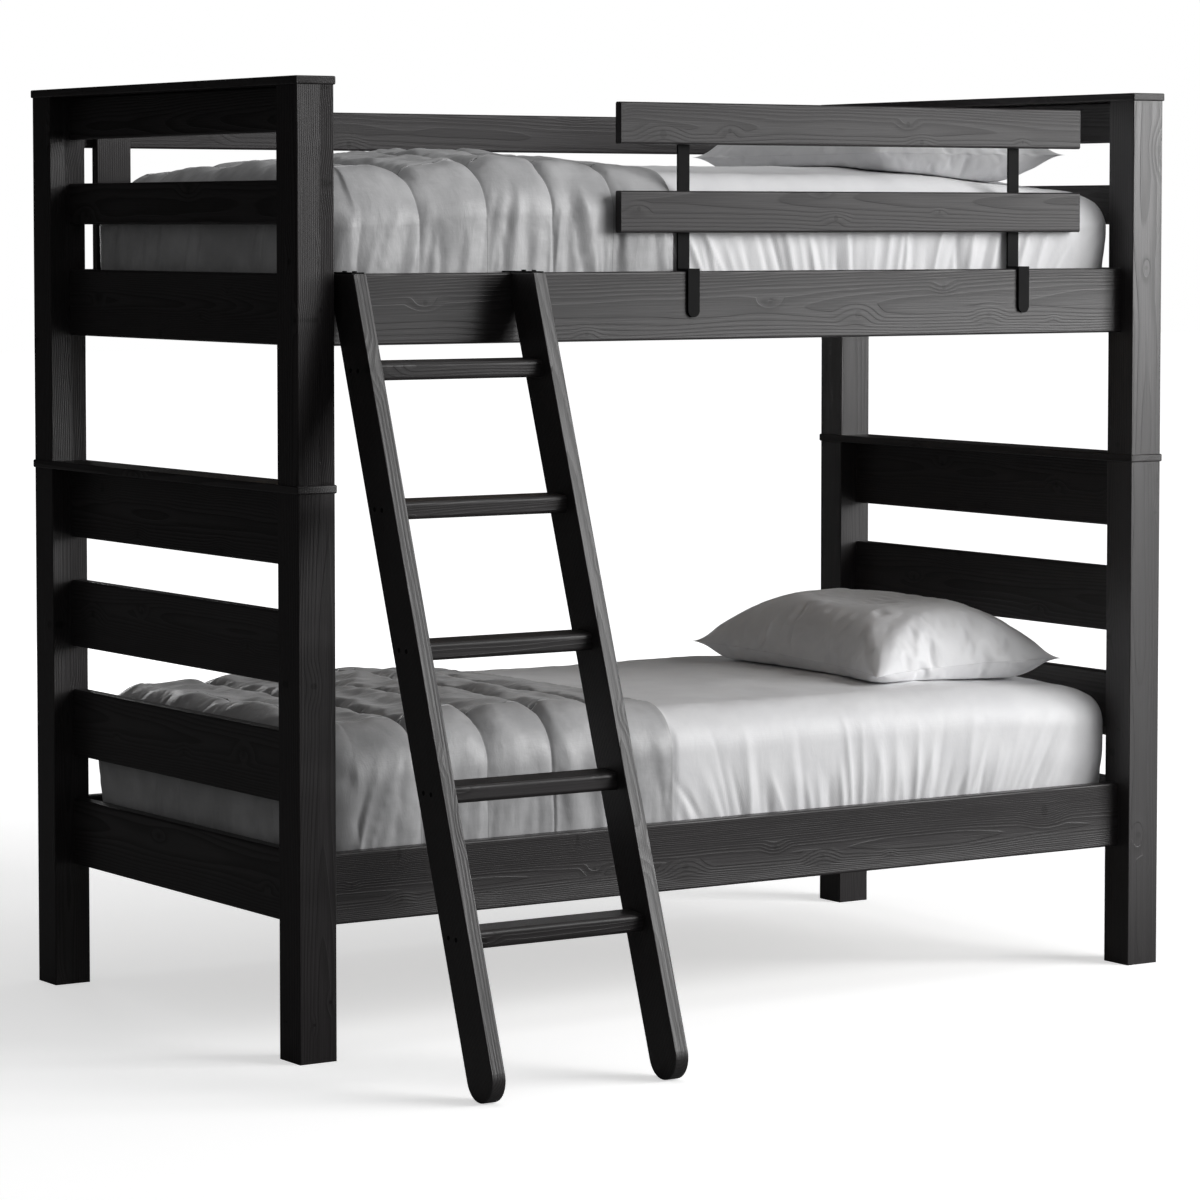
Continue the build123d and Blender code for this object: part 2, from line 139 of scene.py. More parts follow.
def make_pine_figure():
    """Figure of sawn pine in log space, where X runs up the log and the pith lies on X.

    Rings are the fractional part of the distance from the pith over the ring gap, warped by slow
    noise. A knot is a thin cone that grows straight out from the pith, at a random height and
    angle, so a flat face cuts it round; the rings are pushed out in a long bell around it.
    """
    number = "NodeSocketFloat"
    tree, given, out = group_with(
        "pine_figure",
        [("Log", "NodeSocketVector"), ("Ring gap", number), ("Warp", number)],
        [("Late", number), ("Knot", number), ("Fibre", number), ("Height", number)],
    )
    log = given["Log"]
    part = add(tree, "ShaderNodeSeparateXYZ", {0: log}).outputs
    across = vector_maths(tree, "MULTIPLY", log, (0, 1, 1))
    radius = vector_maths(tree, "LENGTH", across)
    angle = maths(tree, "ARCTAN2", part[2], maths(tree, "ABSOLUTE", part[1]))
    spots = (part[0], angle)
    spots = [maths(tree, "DIVIDE", spot, gap) for spot, gap in zip(spots, knot_gap)]
    unrolled = add(tree, "ShaderNodeCombineXYZ", dict(enumerate(spots))).outputs[0]
    one_a_cell = {"Vector": unrolled, "Scale": 1.0}
    cells = add(tree, "ShaderNodeTexVoronoi", one_a_cell, voronoi_dimensions="2D")
    away = vector_maths(tree, "SUBTRACT", unrolled, cells.outputs["Position"])
    off = add(tree, "ShaderNodeSeparateXYZ", {0: away}).outputs
    up = maths(tree, "MULTIPLY", off[0], knot_gap[0])
    round_it = maths(tree, "MULTIPLY", maths(tree, "MULTIPLY", off[1], knot_gap[1]), radius)
    random = add(tree, "ShaderNodeSeparateColor", {0: cells.outputs["Color"]}).outputs
    share = maths(tree, "MULTIPLY_ADD", random[0], 0.8, 0.35)
    size = maths(tree, "MULTIPLY", share, knot_radius)
    reach = long_side(tree, up, round_it)
    long_reach = long_side(tree, maths(tree, "MULTIPLY", up, knot_stretch), round_it)
    slow = noise(tree, vector_maths(tree, "MULTIPLY", log, (1.5, 8, 8)), 1.0, 2.0)
    warped = maths(tree, "ADD", radius, maths(tree, "MULTIPLY", given["Warp"], slow))
    bell = ramp(tree, maths(tree, "DIVIDE", long_reach, size), 3.2, 0.3)
    push = maths(tree, "MULTIPLY", bell, maths(tree, "MULTIPLY", size, 0.8))
    pushed = maths(tree, "ADD", warped, push)
    ring = maths(tree, "FRACT", maths(tree, "DIVIDE", pushed, given["Ring gap"]))
    late = maths(tree, "MULTIPLY", ramp(tree, ring, 0.20, 0.92), ramp(tree, ring, 1.0, 0.93))
    streaks = noise(tree, vector_maths(tree, "MULTIPLY", log, (5, 520, 520)), 1.0, 3.0)
    fibre = ramp(tree, streaks, 0.3, 0.7)
    knot = ramp(tree, maths(tree, "DIVIDE", reach, size), 1.05, 0.55)
    height = maths(tree, "ADD", late, maths(tree, "MULTIPLY", fibre, 0.35))
    for socket, value in (("Late", late), ("Knot", knot), ("Fibre", fibre), ("Height", height)):
        tree.links.new(value, out.inputs[socket])
    return tree


pine_figure = make_pine_figure()
wood_draw = np.random.default_rng(41)


def log_space(tree, turn, middle, pith):
    """Object coordinates turned so that the stick's length is X, then moved off the pith."""
    tilt = wood_draw.normal(0, 0.010, 2)
    rotation = Euler((turn[0], turn[1] + tilt[0], turn[2] + tilt[1]))
    centre = rotation.to_matrix() @ Vector(middle)
    start = (wood_draw.uniform(-9, 9), pith[0], pith[1])
    place = [s - c for s, c in zip(start, centre)]
    where = add(tree, "ShaderNodeTexCoord").outputs["Object"]
    sockets = {"Vector": where, "Location": place, "Rotation": rotation}
    return add(tree, "ShaderNodeMapping", sockets).outputs[0]


def bare_material(name):
    """A material with its Principled shader."""
    material = bpy.data.materials.new(name)
    material.use_nodes = True
    return material, material.node_tree, material.node_tree.nodes["Principled BSDF"]


def emboss(tree, shader, height, strength, distance):
    """Fine relief: a height bends the shader's normal."""
    sockets = {"Strength": strength, "Distance": distance, "Height": height}
    tree.links.new(add(tree, "ShaderNodeBump", sockets).outputs[0], shader.inputs["Normal"])


def pine_in(tree, log, ring_gap, warp):
    """The pine figure's outputs by name, at a place in log space."""
    sockets = {"Log": log, "Ring gap": ring_gap, "Warp": warp}
    return add(tree, "ShaderNodeGroup", sockets, node_tree=pine_figure).outputs


def stained_pine(name, turn, middle, pith, shine, contrast):
    """Charcoal-stained pine: pale early wood, dark late wood, darker knots, satin lacquer."""
    material, tree, shader = bare_material(name)
    log = log_space(tree, turn, middle, pith)
    figure = pine_in(tree, log, wood_draw.uniform(0.0030, 0.0048), 0.022)
    rings = blend(tree, maths(tree, "MULTIPLY", figure["Late"], contrast), early_wood, late_wood)
    knotted = blend(tree, maths(tree, "MULTIPLY", figure["Knot"], 0.75), rings, knot_heart)
    shade = maths(tree, "MULTIPLY_ADD", figure["Fibre"], 0.30, wood_draw.uniform(0.74, 0.92))
    cloudy = maths(tree, "MULTIPLY_ADD", noise(tree, log, 5.0, 2.0), 0.4, 0.8)
    shade = maths(tree, "MULTIPLY", shade, cloudy)
    grey = add(tree, "ShaderNodeCombineXYZ", {0: shade, 1: shade, 2: shade}).outputs[0]
    colour = vector_maths(tree, "MULTIPLY", knotted, grey)
    tree.links.new(colour, shader.inputs["Base Color"])
    gloss = maths(tree, "MULTIPLY_ADD", figure["Height"], 0.07, 0.33)
    tree.links.new(gloss, shader.inputs["Roughness"])
    shader.inputs["Specular IOR Level"].default_value = shine
    emboss(tree, shader, figure["Height"], 0.15 + 0.5 * contrast, 0.0005)
    return material


def finish_node(name, material):
    """The frame's own mesh takes the material, and keeps its shape."""
    mesh = nodes[name].data
    mesh.materials.clear()
    mesh.materials.append(material)


along_x = (0, 0, 0)
along_y = (0, 0, -math.pi / 2)
along_z = (0, math.pi / 2, 0)
up_the_stile = (ladder_lean, math.pi / 2, 0)


def stick_turn(name):
    """Which way the grain of a stick runs."""
    if name.endswith("_stile"):
        return up_the_stile
    if name.endswith("_post") or name.endswith("_uprights"):
        return along_z
    if "_end_board" in name or name.endswith("_cap"):
        return along_y
    return along_x


def shine_of(name):
    """How much a stick's lacquer shines: least on the guard boards, most on post and stiles."""
    shines = {
        "rear_guard": 0.24, "guard": 0.27, "left_front_post": 0.24, "right_front_post": 0.66,
        "_stile": 0.60, "side_rail": 0.44,
    }
    return next((shine for part, shine in shines.items() if part in name), 0.40)


slot_of = {part["node"]: part["material_slot"] for part in frame["record"]["subparts"]}
for node_name in sorted(nodes):
    if slot_of[node_name] == "stained_wood":
        low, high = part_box(node_name)
        pith_off = wood_draw.choice([-1, 1]) * wood_draw.uniform(0.035, 0.085)
        pith = (pith_off, wood_draw.uniform(-0.03, 0.03))
        turn, middle = stick_turn(node_name), (low + high) / 2
        contrast = 0.40 if "guard" in node_name else wood_draw.uniform(0.50, 0.85)
        wood = stained_pine("wood_" + node_name, turn, middle, pith, shine_of(node_name), contrast)
        finish_node(node_name, wood)


# ---- Slats and cleats ----
# Rough-planed pale pine, left bare because the mattress hides it. The slats lie loose in the
# notches of the cleats, which are glued and screwed to the inside of the side rails.
bare_early = (0.71, 0.52, 0.31, 1)
bare_late = (0.47, 0.27, 0.12, 1)
bare_knot = (0.16, 0.07, 0.03, 1)


def bare_pine(name, turn, middle):
    """Unfinished pine with warm rings and brown knots."""
    material, tree, shader = bare_material(name)
    figure = pine_in(tree, log_space(tree, turn, middle, (0.07, 0.02)), 0.005, 0.03)
    rings = blend(tree, maths(tree, "MULTIPLY", figure["Late"], 0.7), bare_early, bare_late)
    knotted = blend(tree, figure["Knot"], rings, bare_knot)
    tree.links.new(knotted, shader.inputs["Base Color"])
    rough = maths(tree, "MULTIPLY_ADD", figure["Fibre"], 0.15, 0.6)
    tree.links.new(rough, shader.inputs["Roughness"])
    emboss(tree, shader, figure["Height"], 0.5, 0.0005)
    return material


for level in ("lower", "upper"):
    for part, turn in (("slats", along_y), ("slat_cleats", along_x)):
        node_name = f"{level}_{part}"
        low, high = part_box(node_name)
        finish_node(node_name, bare_pine("bare_pine_" + node_name, turn, (low + high) / 2))


# ---- Steel: guard brackets, ladder hooks, screws, pins and rail plates ----
# Brackets and hooks are bent flat bar under a satin black powder coat with its fine orange peel.
# Screws, stacking pins and the hidden rail plates are bright zinc with a brushed look.
def powder_coat(name):
    """Satin black powder coat: tiny dimples, and a slightly rubbed tone."""
    material, tree, shader = bare_material(name)
    where = add(tree, "ShaderNodeTexCoord").outputs["Object"]
    peel = noise(tree, where, 900.0, 2.0)
    patch = noise(tree, where, 22.0, 4.0)
    colour = blend(tree, patch, (0.0035, 0.0035, 0.0038, 1), (0.0070, 0.0070, 0.0075, 1))
    tree.links.new(colour, shader.inputs["Base Color"])
    tree.links.new(maths(tree, "MULTIPLY_ADD", patch, 0.2, 0.45), shader.inputs["Roughness"])
    shader.inputs["Specular IOR Level"].default_value = 0.08
    emboss(tree, shader, peel, 0.35, 0.0002)
    return material


def bright_zinc(name):
    """Zinc plate: faint brushing and cloudy passivation."""
    material, tree, shader = bare_material(name)
    where = add(tree, "ShaderNodeTexCoord").outputs["Object"]
    lines = noise(tree, vector_maths(tree, "MULTIPLY", where, (2500, 300, 300)), 1.0, 2.0)
    cloud = noise(tree, where, 60.0, 3.0)
    colour = blend(tree, cloud, (0.50, 0.50, 0.47, 1), (0.68, 0.68, 0.66, 1))
    tree.links.new(colour, shader.inputs["Base Color"])
    tree.links.new(maths(tree, "MULTIPLY_ADD", lines, 0.2, 0.22), shader.inputs["Roughness"])
    shader.inputs["Metallic"].default_value = 1.0
    return material


coat = powder_coat("black_powder_coat")
zinc = bright_zinc("bright_zinc")
for node_name in sorted(nodes):
    if slot_of[node_name] == "black_steel":
        finish_node(node_name, coat)
    if slot_of[node_name] == "zinc_steel":
        finish_node(node_name, zinc)


# ---- Mattresses in fitted sheets ----
# A thick foam mattress in a white sateen fitted sheet. Its elastic hem, out of sight below the
# rail, gathers the cloth into upright folds that fan out along the sides and fade at the top edge.
# The sheet's two tones are mixed in soft blotches, partly uneven cloth tone and partly painted
# satin sheen.
sheet_white = (0.87, 0.87, 0.88, 1)
sheet_shade = (0.81, 0.81, 0.825, 1)
foot_corner = 0.085
head_corner = 0.024
mattress_round = 0.085
# Height of the middle, the ends and the sides over the CAD top.
mattress_top = {"lower": (0.012, 0.000, 0.006), "upper": (-0.001, -0.030, -0.020)}


def ease(value):
    """Smooth step from 0 to 1."""
    value = np.clip(value, 0, 1)
    return value * value * (3 - 2 * value)


def crown_of(points, low, high, level):
    """How far a mattress's top stands over its CAD top: a smooth rise in from ends and sides."""
    inside_x = np.minimum(points[..., 0] - low.x, high.x - points[..., 0]) - mattress_round
    inside_y = np.minimum(points[..., 1] - low.y, high.y - points[..., 1]) - mattress_round
    middle, at_end, at_side = mattress_top[level]
    fall = (at_end - middle) * (1 - ease(inside_x / 0.42 + 0.1))
    return middle + fall + (at_side - middle) * (1 - ease(inside_y / 0.30 + 0.1))


def soft_noise(points, size, seed, octaves=3):
    """Smooth random height, about -1 to 1: sums of sine waves of random heading, size long."""
    draw = np.random.default_rng(seed)
    total = np.zeros(points.shape[:-1])
    for octave in range(octaves):
        heading = draw.normal(size=(9, points.shape[-1]))
        heading /= np.linalg.norm(heading, axis=1, keepdims=True)
        pace = 2 * np.pi / (np.asarray(size) * 0.5 ** octave) * draw.uniform(0.6, 1.3, (9, 1))
        phase = draw.uniform(0, 2 * np.pi, 9)
        total += np.sin(points @ (heading * pace).T + phase).sum(-1) * 0.5 ** octave / 4
    return total


def rounded_loop(x, y, foot_radius, head_radius, count):
    """Rounded rectangle seen from above, walked anticlockwise at even steps.

    A point is its corner's centre plus the corner's radius along the outward normal; the straight
    runs join one corner's last point to the next one's first. Returns centres, normals, radii and
    distance walked.
    """
    angle = np.radians(np.arange(0.5, 360.5, 1.0) - 90)
    normal = np.stack([np.cos(angle), np.sin(angle)], 1)
    radius = np.where(normal[:, :1] < 0, foot_radius, head_radius)
    centre = np.where(normal < 0, [x[0], y[0]] + radius, [x[1], y[1]] - radius)
    loop = np.hstack([centre + radius * normal, centre, normal, radius])
    loop = np.vstack([loop, loop[:1]])
    walked = np.concatenate([[0], np.cumsum(np.linalg.norm(np.diff(loop[:, :2], axis=0), axis=1))])
    step = np.linspace(0, walked[-1], count, endpoint=False)
    even = np.stack([np.interp(step, walked, column) for column in loop.T], 1)
    outward = even[:, 4:6] / np.linalg.norm(even[:, 4:6], axis=1, keepdims=True)
    return even[:, 2:4], outward, even[:, 6], step


def gathers(along, rise, length, seed, gap, width, height, top, lean):
    """Gathered cloth: a sum of narrow ridges at random places along a side, in metres.

    A ridge is a steep-sided bell of the distance from its line. Its line leans by lean, which
    depends on its place, and it widens and fades as it rises to its own top.
    """
    draw = np.random.default_rng(seed)
    count = int(length / gap)
    place = (np.arange(count) + draw.uniform(-0.45, 0.45, count)) * length / count
    width = draw.uniform(*width, count)
    height = draw.uniform(*height, count) * draw.choice([1, 1, -0.8], count)
    slant = draw.normal(0, 0.10, count) + lean(place)
    top = draw.uniform(*top, count)
    total = np.zeros_like(along)
    for k in range(count):
        bend = slant[k] * (rise + 0.9 * rise * rise)
        offset = (along - place[k] - bend + length / 2) % length - length / 2
        spread = width[k] * (1 + 3.5 * np.clip(rise, 0, None))
        bell = np.exp(-np.abs(offset / spread) ** 1.4)
        total += height[k] * bell * ease(1.3 - 1.3 * rise / top[k])
    return total


def sewn(points, faces, near=0.0001):
    """Points closer than near made one, and faces that lose a corner to it made triangles."""
    keys = np.floor(points / near + 0.37).astype(np.int64)
    first, same = np.unique(keys, axis=0, return_index=True, return_inverse=True)[1:]
    faces = same.reshape(-1)[faces]
    kept = faces != np.roll(faces, 1, axis=1)
    quads = faces[kept.all(1)]
    pinched = kept.sum(1) == 3
    triangles = faces[pinched][kept[pinched]].reshape(-1, 3)
    return first, quads, triangles


def new_piece(name, points, *face_sets):
    """A smooth-shaded mesh object with its place in its mesh."""
    mesh = bpy.data.meshes.new(name)
    mesh.from_pydata(points.tolist(), [], sum((faces.tolist() for faces in face_sets), []))
    mesh.shade_smooth()
    piece = bpy.data.objects.new(name, mesh)
    bpy.context.scene.collection.objects.link(piece)
    return piece


def grid_faces(rows, columns, first=0, closed=False):
    """Quads between neighbouring rows of a grid of points, whose rows may close on themselves."""
    row, column = np.meshgrid(
        np.arange(rows - 1), np.arange(columns if closed else columns - 1), indexing="ij"
    )
    after = (column + 1) % columns
    corners = [row * columns + column, row * columns + after]
    corners += [corners[1] + columns, corners[0] + columns]
    return first + np.stack([c.ravel() for c in corners], 1)


def mattress_skin(name, level, tuck_z, covered_x, side_swell, seed):
    """Closed skin of a mattress: rings that start under its middle and end on top of it.

    Every ring is the rounded outline, drawn inwards towards the mattress's long middle line. The
    outline swells up the wall, follows a quarter circle over the top edge, and is crowned on top.
    """
    low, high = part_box(f"{level}_mattress")
    round_foot, head_swell = 0.016, 0.0085
    centre, outward, radius, walked = rounded_loop(
        (low.x, high.x), (low.y, high.y), foot_corner, head_corner, 1300
    )
    length = walked[-1] + walked[1]
    middle = np.array([(low.x + high.x) / 2, (low.y + high.y) / 2])
    half = np.array([high.x - low.x, high.y - low.y]) / 2
    foot = np.linspace(0, 1, 5)
    quarter = np.linspace(0, math.pi / 2, 8)
    edge = np.linspace(0, math.pi / 2, 18)
    wall = np.linspace(low.z + round_foot, high.z - mattress_round, 26)[1:-1]
    inset = np.concatenate([
        np.full(5, round_foot), round_foot * (1 - np.sin(quarter)), np.zeros(len(wall)),
        mattress_round * (1 - np.cos(edge)), np.full(20, mattress_round),
    ])
    height = np.concatenate([
        np.full(5, low.z), low.z + round_foot * (1 - np.cos(quarter)), wall,
        high.z - mattress_round * (1 - np.sin(edge)), np.full(20, high.z),
    ])
    draw_in = np.concatenate([1 - foot, np.zeros(26 + len(wall)), np.linspace(0, 1, 21)[1:]])
    inner = np.maximum(inset[:, None] - radius, 0)[..., None]
    base = middle + (centre - middle) * (1 - inner / (half - radius[:, None]))
    base = base + outward * np.maximum(radius - inset[:, None], 0)[..., None]
    spine_x = np.clip(base[..., 0], low.x + half[1], high.x - half[1])
    spine = np.stack([spine_x, np.full(spine_x.shape, middle[1])], 2)
    place = base + (spine - base) * draw_in[:, None, None]
    along = np.broadcast_to(walked[None], base.shape[:2])
    rise = np.broadcast_to(height[:, None] - tuck_z, along.shape)
    bare = ease((place[..., 0] - covered_x) / 0.018)
    upright = ease((height[:, None] - low.z) / 0.05)
    upright = upright * ease((high.z + 0.006 - height[:, None]) / 0.05)
    by_head = ease((centre[:, 0] - high.x + 0.22) / 0.14)
    swell = side_swell + (head_swell - side_swell) * by_head
    swell = ease((height[:, None] - tuck_z + 0.01) / 0.10) * swell
    outline_x, heading_x = centre[:, 0] + radius * outward[:, 0], -outward[:, 1]

    def fan(place_on):
        """Folds near the comforter lean to the foot, and those near the head lean to the head."""
        from_middle = np.clip((np.interp(place_on, walked, outline_x) - 0.35) / 0.5, -1.4, 1)
        return 0.52 * from_middle * np.interp(place_on, walked, heading_x)

    folds = gathers(
        along, rise, length, seed, gap=0.021, width=(0.0045, 0.012), height=(0.002, 0.0075),
        top=(0.10, 0.25), lean=fan,
    )
    folds = np.clip(folds, -0.007, 0.0072) * (1 - 0.75 * by_head)
    place = place + outward[None] * (upright * bare * (swell + folds))[..., None]
    points = np.concatenate([place, np.broadcast_to(height[:, None, None], (*along.shape, 1))], 2)
    upper_half = ease((points[..., 2] - low.z - 0.1) / 0.1)
    rumple = 0.0022 * soft_noise(points, 0.38, seed + 1)
    rumple = rumple + 0.0009 * soft_noise(points, 0.10, seed + 2)
    points[..., 2] += upper_half * (crown_of(points, low, high, level) + rumple * bare)
    points = points.reshape(-1, 3)
    first, quads, triangles = sewn(points, grid_faces(len(height), len(walked), closed=True))
    return new_piece(name, points[first], quads, triangles)


def make_weave():
    """Fine cloth: crossed threads, whose count is an input, as a height, and uneven thread tone."""
    number = "NodeSocketFloat"
    tree, given, out = group_with(
        "weave",
        [("Place", "NodeSocketVector"), ("Threads", number)],
        [("Height", number), ("Slub", number)],
    )
    scaled = add(tree, "ShaderNodeVectorMath", {0: given["Place"]}, operation="SCALE")
    tree.links.new(given["Threads"], scaled.inputs["Scale"])
    parts = add(tree, "ShaderNodeSeparateXYZ", {0: scaled.outputs[0]})
    waves = [maths(tree, "SINE", parts.outputs[i]) for i in range(3)]
    crossed = maths(tree, "ADD", maths(tree, "ADD", waves[0], waves[1]), waves[2])
    slub = noise(tree, vector_maths(tree, "MULTIPLY", given["Place"], (40, 40, 300)), 1.0, 3.0)
    tree.links.new(crossed, out.inputs["Height"])
    tree.links.new(slub, out.inputs["Slub"])
    return tree


weave = make_weave()
# Painted shade for the grooves along the seams.
stitch_shadow = (0.10, 0.10, 0.10, 1)


def sateen(name, colour, shade, threads, rough, sheen, crease_depth):
    """Smooth satin-weave cotton: fine threads, faint slubs, small creases and a soft sheen.

    The mesh's stitch attribute, 1 along a seam, paints shade along the stitched line there.
    """
    material, tree, shader = bare_material(name)
    where = add(tree, "ShaderNodeTexCoord").outputs["Object"]
    sockets = {"Place": where, "Threads": threads}
    cloth = add(tree, "ShaderNodeGroup", sockets, node_tree=weave).outputs
    # Blotchy tone between the two colours: partly the cloth's own uneven tone, partly painted satin
    # sheen.
    blotches_and_painted_sheen = ramp(tree, noise(tree, where, 11.0, 7.0), 0.32, 0.68)
    tone = maths(tree, "MULTIPLY_ADD", cloth["Slub"], 0.3, maths(tree, "MULTIPLY", blotches_and_painted_sheen, 0.75))
    stitch = add(tree, "ShaderNodeAttribute", attribute_name="stitch").outputs["Fac"]
    # Painted shade: the colour darkens towards stitch_shadow along the seams, where the stitch
    # attribute is high.
    painted_seam_shade = maths(tree, "MULTIPLY", ramp(tree, stitch, 0.55, 0.95), 0.55)
    toned = blend(tree, painted_seam_shade, blend(tree, tone, colour, shade), stitch_shadow)
    tree.links.new(toned, shader.inputs["Base Color"])
    gloss = maths(tree, "MULTIPLY_ADD", cloth["Slub"], 0.12, rough - 0.06)
    tree.links.new(gloss, shader.inputs["Roughness"])
    shader.inputs["Sheen Weight"].default_value = sheen
    shader.inputs["Sheen Roughness"].default_value = 0.35
    crease = noise(tree, vector_maths(tree, "MULTIPLY", where, (1, 1, 0.5)), 26.0, 4.0, 0.3)
    deep = maths(tree, "MULTIPLY", crease, crease_depth)
    height = maths(tree, "MULTIPLY_ADD", cloth["Height"], 0.06, deep)
    emboss(tree, shader, height, 0.4, 0.0006)
    return material


sheet_cloth = sateen(
    "white_sateen", sheet_white, sheet_shade,
    threads=5200.0, rough=0.50, sheen=0.10, crease_depth=5.0,
)
for level, side_swell, seed in (("lower", 0.005, 11), ("upper", 0.0015, 23)):
    rail_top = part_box(f"{level}_front_side_rail")[1].z
    hem_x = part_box(f"{level}_comforter")[1].x
    mattress = mattress_skin(
        f"{level}_mattress_in_sheet", level, rail_top - 0.02, hem_x - 0.002, side_swell, seed
    )
    mattress.data.materials.append(sheet_cloth)
    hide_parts(f"{level}_mattress")
    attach(mattress, f"mattress_{level}")


# ---- Comforters ----
# A grey satin-weave quilt with a loose filling, sewn in channels that run across the bed, spread
# over the foot half of the mattress. Its sides and foot are tucked down inside the frame.
# The quilt's two tones are mixed in soft blotches, partly uneven cloth tone and partly painted
# satin sheen.
quilt_grey = (0.515, 0.515, 0.522, 1)
quilt_shade = (0.365, 0.365, 0.372, 1)
quilt_seams = (-0.898, -0.730, -0.577, -0.430, -0.290)
quilt_round = mattress_round
quilt_step = 0.0070
lining_gap, cover_gap = 0.0022, 0.0048
side_fill, extra_on_top = 0.0065, 0.0150
thinnest = 0.0026
hem_thick = 0.0022


def blown(piece, held, pressure, slack, frames, reach):
    """Cloth blown up from inside for a few frames; returns each point's place.

    held is how firmly each point is sewn down, 0 to 1. slack is how much longer the cloth is than
    its first shape, which makes it pucker. No point ends further than reach from its start.
    """
    start = np.empty(len(piece.data.vertices) * 3)
    piece.data.vertices.foreach_get("co", start)
    start = start.reshape(-1, 3)
    group = piece.vertex_groups.new(name="held")
    for firm in np.unique(held[held > 0]):
        group.add(np.flatnonzero(held == firm).tolist(), float(firm), "REPLACE")
    modifier = piece.modifiers.new("cloth", "CLOTH")
    cloth = modifier.settings
    cloth.quality = 3
    cloth.mass = 0.25
    cloth.tension_stiffness = cloth.compression_stiffness = 14
    cloth.shear_stiffness = 4
    cloth.bending_stiffness = 0.08
    cloth.air_damping = 4
    cloth.shrink_min = cloth.shrink_max = -slack
    cloth.use_pressure = True
    cloth.uniform_pressure_force = pressure
    cloth.effector_weights.gravity = 0
    cloth.vertex_group_mass = "held"
    modifier.collision_settings.use_collision = False
    modifier.point_cache.frame_end = frames
    for frame_number in range(1, frames + 1):
        bpy.context.scene.frame_set(frame_number)
    shown = piece.evaluated_get(bpy.context.evaluated_depsgraph_get())
    mesh = shown.to_mesh()
    blown_up = np.empty(len(mesh.vertices) * 3)
    mesh.vertices.foreach_get("co", blown_up)
    shown.to_mesh_clear()
    piece.modifiers.remove(modifier)
    piece.vertex_groups.remove(group)
    bpy.context.scene.frame_set(1)
    moved = blown_up.reshape(-1, 3) - start
    far = np.linalg.norm(moved, axis=1, keepdims=True)
    return start + moved * np.minimum(1, reach / np.maximum(far, 1e-9))


def quilt_sheet(low, high, bottom_z, hem_x, out):
    """Points of one cloth layer that lies at a distance out from the mattress, and its faces.

    The wall follows the outline front, foot, back, in rings from the tucked edge up and over a
    quarter circle; the top is a grid of lines across and along the bed that meets the last ring.
    Seams lie on grid lines, which crowd together there. Returns points and faces.
    """
    x_in, y_in = low.x + quilt_round, (low.y + quilt_round, high.y - quilt_round)
    stops = [x_in, *(s for s in quilt_seams if s > x_in + 0.01), hem_x]
    lines_x = [[hem_x]]
    for start, end in zip(stops, stops[1:]):
        share = np.linspace(0, 1, round((end - start) / quilt_step), endpoint=False)
        share -= 0.6 * np.sin(2 * np.pi * share) / (2 * np.pi)
        lines_x.insert(-1, start + (end - start) * share)
    lines_x = np.concatenate(lines_x)
    lines_y = np.linspace(*y_in, round((y_in[1] - y_in[0]) / quilt_step))
    turn = np.linspace(0, math.pi / 2, 14)[1:-1]
    front = np.stack([lines_x[::-1], np.full(len(lines_x), y_in[0])], 1)
    foot = np.stack([np.full(len(lines_y), x_in), lines_y], 1)
    back = np.stack([lines_x, np.full(len(lines_x), y_in[1])], 1)
    corners = [np.tile(corner, (len(turn), 1)) for corner in (front[-1:], back[:1])]
    hub = np.concatenate([front, corners[0], foot, corners[1], back])
    angle = np.concatenate([
        np.full(len(front), -math.pi / 2), -math.pi / 2 - turn, np.full(len(foot), -math.pi),
        -math.pi - turn, np.full(len(back), -1.5 * math.pi),
    ])
    outward = np.stack([np.cos(angle), np.sin(angle)], 1)
    top_z = high.z - quilt_round
    wall = np.linspace(bottom_z, top_z, round((top_z - bottom_z) / quilt_step))[:-1]
    quarter = np.linspace(0, math.pi / 2, 14)
    reach = quilt_round + out
    away = np.concatenate([np.full(len(wall), reach), reach * np.cos(quarter)])
    height = np.concatenate([wall, top_z + reach * np.sin(quarter)])
    rings = hub[None] + outward[None] * away[:, None, None]
    tall = np.broadcast_to(height[:, None, None], (*rings.shape[:2], 1))
    rings = np.concatenate([rings, tall], 2)
    grid_x, grid_y = np.meshgrid(lines_x, lines_y, indexing="ij")
    top = np.stack([grid_x, grid_y, np.full_like(grid_x, top_z + reach)], 2)
    points = np.concatenate([rings.reshape(-1, 3), top.reshape(-1, 3)])
    faces = np.concatenate([
        grid_faces(len(height), len(hub))[:, ::-1],
        grid_faces(len(lines_x), len(lines_y), first=rings.shape[0] * rings.shape[1]),
    ])
    return points, faces


